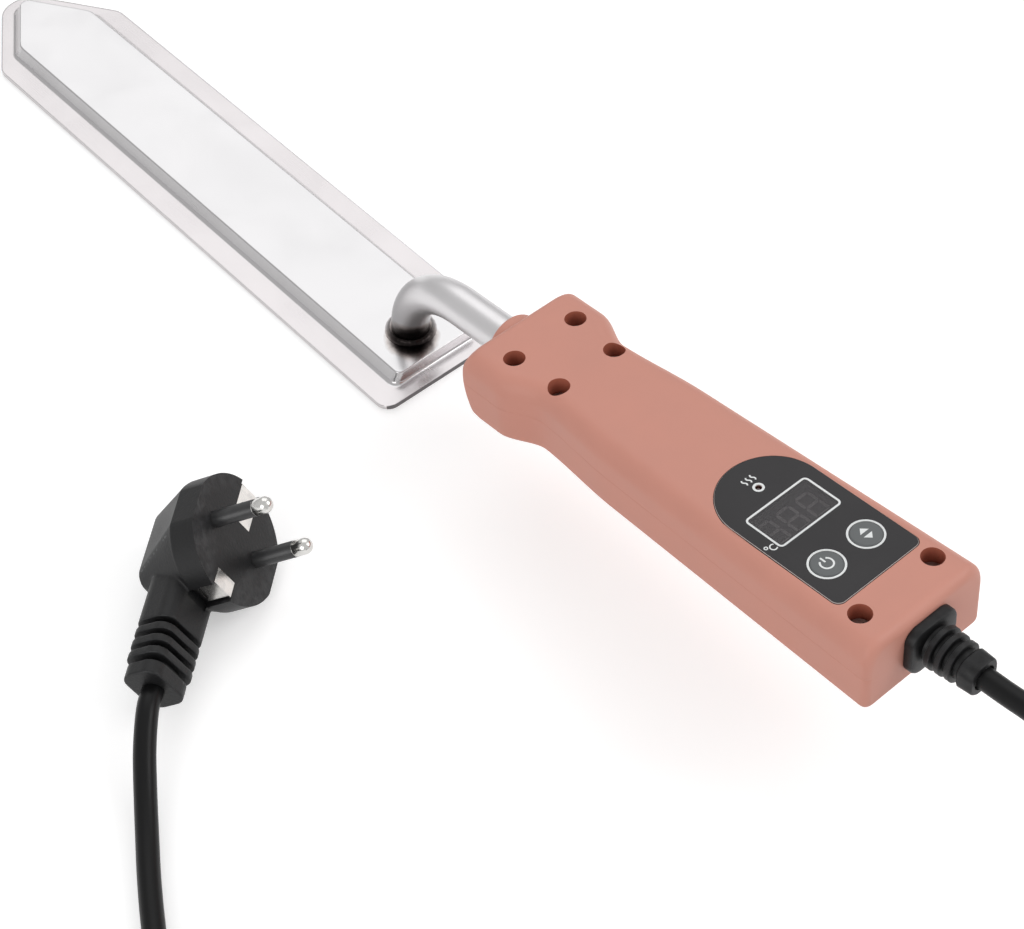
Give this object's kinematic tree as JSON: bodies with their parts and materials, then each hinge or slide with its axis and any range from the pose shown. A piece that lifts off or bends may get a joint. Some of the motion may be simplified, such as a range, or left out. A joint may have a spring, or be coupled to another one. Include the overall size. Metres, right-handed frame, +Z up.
{
  "type": "electric hot knife",
  "caption": "Electric hot knife: flat double-edged heated blade on a bent tube, pink controller handle with display and push buttons, mains cord and angled earthed plug.",
  "frame": {"origin": "middle of the knife's footprint (without cord and plug) on the plane of the blade's underside", "axes": "+X along the blade to its tip, +Y to the left edge, +Z up from the blade's underside"},
  "size_m": [0.5162, 0.2167, 0.0645],
  "materials": {
    "steel_blade": "polished",
    "steel_tube": "polished",
    "mica": "satin",
    "heater_ribbon": "satin",
    "fibre_pad": "matte",
    "sensor_brass": "satin",
    "lead_sleeve": "matte",
    "handle_plastic": "satin",
    "screw_steel": "satin",
    "label_plate": "satin",
    "window_clear": "gloss",
    "display_black": "gloss",
    "lamp_red": "gloss",
    "button_grey": "satin",
    "component_black": "matte",
    "board_green": "satin",
    "capacitor_yellow": "satin",
    "capacitor_blue": "gloss",
    "fuse_glass": "gloss",
    "core_insulation": "satin",
    "cord_sheath": "satin",
    "tie_strap": "matte",
    "plug_plastic": "matte",
    "plug_metal": "polished"
  },
  "bodies": {
    "knife": {"blade_base_plate": "steel_blade", "blade_top_plate": "steel_blade", "mica_lower_sheet": "mica", "heating_element": "heater_ribbon", "mica_upper_sheet": "mica", "insulation_pad": "fibre_pad", "temperature_sensor": "sensor_brass", "stem_tube": "steel_tube", "weld_collar": "steel_tube", "heater_leads": "lead_sleeve", "sensor_leads": "lead_sleeve", "handle_top_shell": "handle_plastic", "handle_bottom_shell": "handle_plastic", "case_screws": "screw_steel", "stem_collar": "steel_tube", "control_overlay": "label_plate", "display_window": "window_clear", "display_module": "display_black", "heat_lamp": "lamp_red", "power_switch": "component_black", "set_switch": "component_black", "control_board": "board_green", "board_screws": "screw_steel", "control_chip": "component_black", "triac": "component_black", "film_capacitor": "capacitor_yellow", "bulk_capacitor": "capacitor_blue", "mains_fuse": "fuse_glass", "mains_leads": "core_insulation", "earth_lead": "core_insulation", "cord_inner": "cord_sheath", "cord_clamp": "component_black", "cord_clamp_screws": "screw_steel", "strain_relief": "cord_sheath", "cord_lead": "cord_sheath", "cord_coil": "cord_sheath", "cord_tail": "cord_sheath", "cord_tie": "tie_strap", "plug_body": "plug_plastic", "plug_pins": "plug_metal", "plug_earth_clips": "plug_metal", "plug_earth_socket": "plug_metal"},
    "power_button": {"power_button": "button_grey"},
    "set_button": {"set_button": "button_grey"}
  },
  "joints": [
    {"name": "power_button_press", "type": "slide", "parent": "knife", "child": "power_button", "axis": [-0.1045, 0, -0.9945], "range_m": [0, 0.0004], "stiffness_N_per_m": 1200},
    {"name": "set_button_press", "type": "slide", "parent": "knife", "child": "set_button", "axis": [-0.1045, 0, -0.9945], "range_m": [0, 0.0004], "stiffness_N_per_m": 1200}
  ]
}
